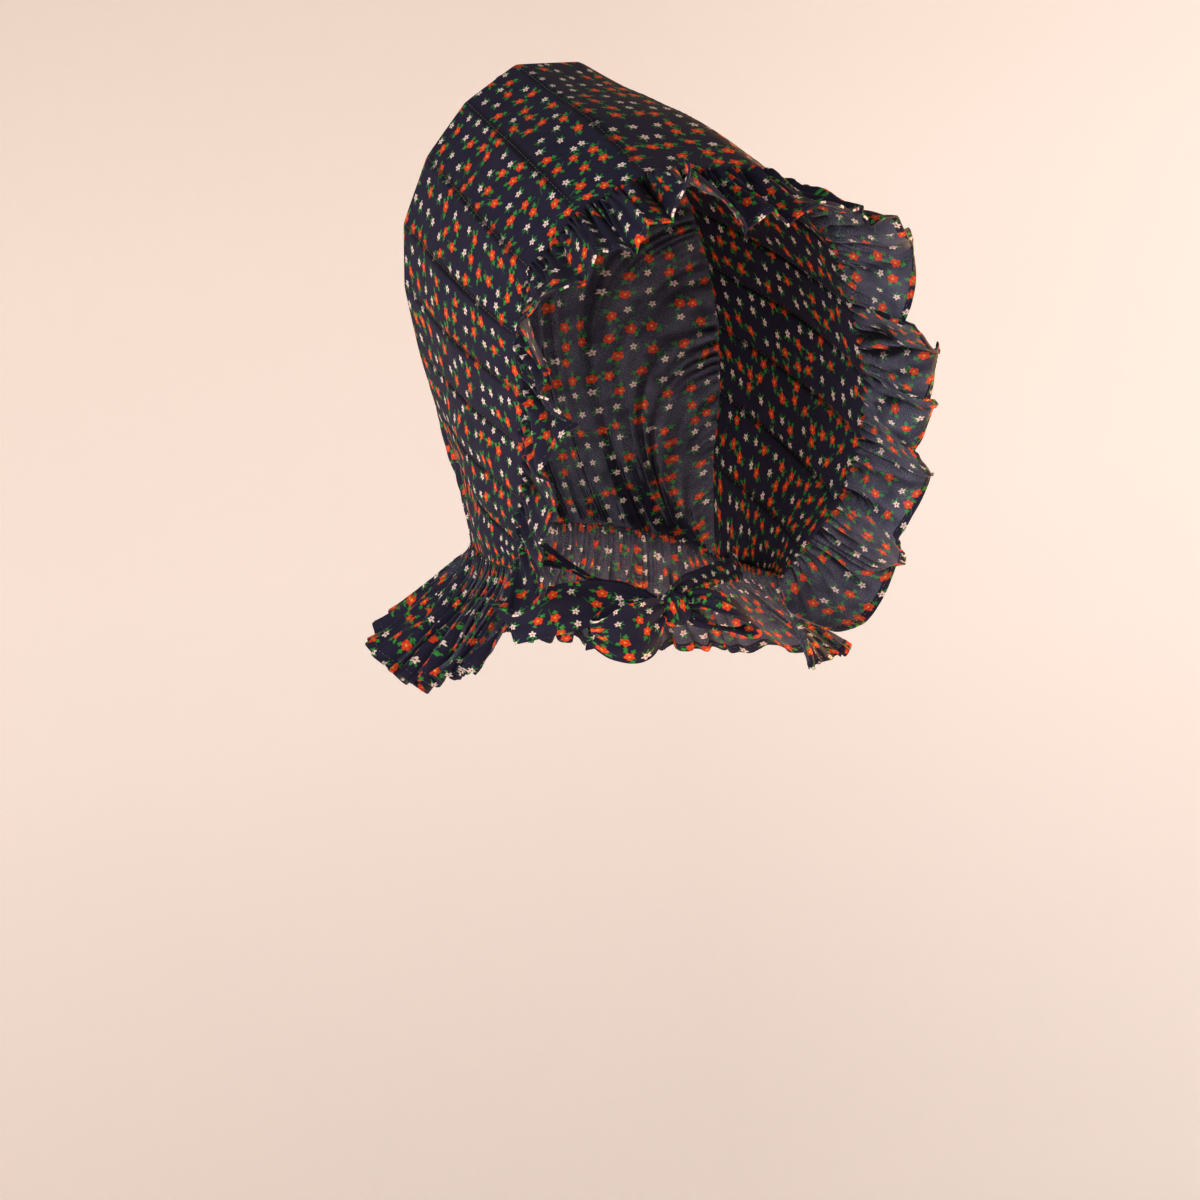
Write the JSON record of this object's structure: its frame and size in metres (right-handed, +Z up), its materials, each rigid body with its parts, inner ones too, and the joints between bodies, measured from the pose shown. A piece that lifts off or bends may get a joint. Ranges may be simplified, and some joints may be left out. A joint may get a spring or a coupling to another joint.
{
  "type": "prairie bonnet",
  "caption": "Cotton calico prairie bonnet in its worn form: slatted brim, gathered crown, rim ruffle, neck curtain and ties knotted in a bow under the chin.",
  "frame": {"origin": "where the top of the wearer's head bears against the inside of the brim", "axes": "+Z up, the wearer faces -Y, the wearer's left is +X"},
  "size_m": [0.2532, 0.2692, 0.3141],
  "materials": {
    "brim_cotton": "matte navy calico with small red and white flowers and green leaves",
    "brim_ruffle_cotton": "matte navy calico with small red and white flowers and green leaves",
    "crown_cotton": "matte navy calico with small red and white flowers and green leaves",
    "neck_curtain_cotton": "matte navy calico with small red and white flowers and green leaves",
    "tie_right_cotton": "matte navy calico with small red and white flowers and green leaves",
    "tie_left_cotton": "matte navy calico with small red and white flowers and green leaves",
    "bow_knot_cotton": "matte navy calico with small red and white flowers and green leaves",
    "bow_loop_right_cotton": "matte navy calico with small red and white flowers and green leaves",
    "bow_loop_left_cotton": "matte navy calico with small red and white flowers and green leaves",
    "bow_tail_right_cotton": "matte navy calico with small red and white flowers and green leaves",
    "bow_tail_left_cotton": "matte navy calico with small red and white flowers and green leaves"
  },
  "bodies": {
    "root": {"brim": "brim_cotton", "brim_ruffle": "brim_ruffle_cotton", "crown": "crown_cotton", "neck_curtain": "neck_curtain_cotton", "tie_right": "tie_right_cotton", "tie_left": "tie_left_cotton", "bow_knot": "bow_knot_cotton", "bow_loop_right": "bow_loop_right_cotton", "bow_loop_left": "bow_loop_left_cotton", "bow_tail_right": "bow_tail_right_cotton", "bow_tail_left": "bow_tail_left_cotton"}
  },
  "joints": []
}
